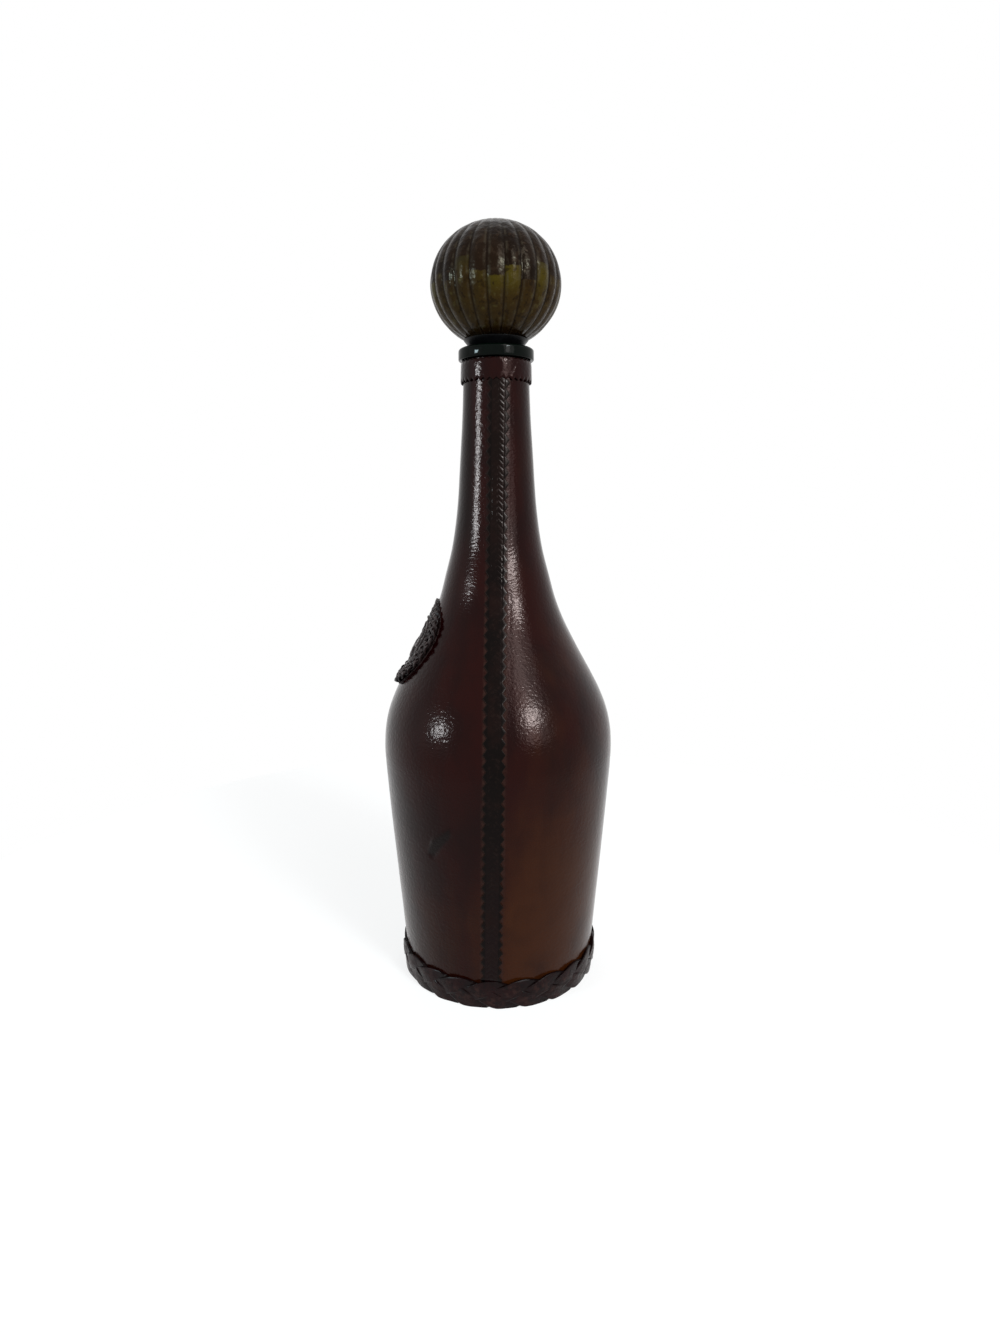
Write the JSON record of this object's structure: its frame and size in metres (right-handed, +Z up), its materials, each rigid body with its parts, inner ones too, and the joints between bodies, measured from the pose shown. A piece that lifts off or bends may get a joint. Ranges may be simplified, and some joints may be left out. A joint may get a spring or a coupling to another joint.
{
  "type": "decanter",
  "caption": "Tall glass decanter in a leather cover with tooled seam strips, a plaited foot trim and a shoulder medallion, closed by a corked, ribbed glass ball stopper.",
  "frame": {"origin": "centre of the sole's underside, where the decanter stands", "axes": "+Z up along the neck's axis, -Y towards the near seam, -X towards the shoulder medallion"},
  "size_m": [0.1008, 0.1032, 0.3202],
  "materials": {
    "green_glass": "glossy, very dark green",
    "amber_glass": "glossy, dark olive and amber",
    "black_plastic": "satin black",
    "cork": "natural cork",
    "cover_leather": "polished, dark oxblood, fine grain",
    "strip_leather": "waxed, black-brown, tooled",
    "plaited_leather": "waxed, dark burgundy-brown",
    "sole_leather": "plain, brown, matt"
  },
  "bodies": {
    "bottle": {"glass_bottle": "green_glass", "leather_panel_left": "cover_leather", "leather_panel_right": "cover_leather", "leather_sole": "sole_leather", "seam_strip_front": "strip_leather", "seam_strip_back": "strip_leather", "neck_band": "cover_leather", "foot_braid": "plaited_leather", "medallion_patch": "plaited_leather", "medallion_border": "plaited_leather", "medallion_boss": "plaited_leather"},
    "stopper": {"stopper_ball": "amber_glass", "stopper_collar": "black_plastic", "stopper_cork": "cork"}
  },
  "joints": [
    {"name": "stopper_lift", "type": "slide", "parent": "bottle", "child": "stopper", "axis": [0, 0, 1], "range_m": [0, 0.045]}
  ]
}
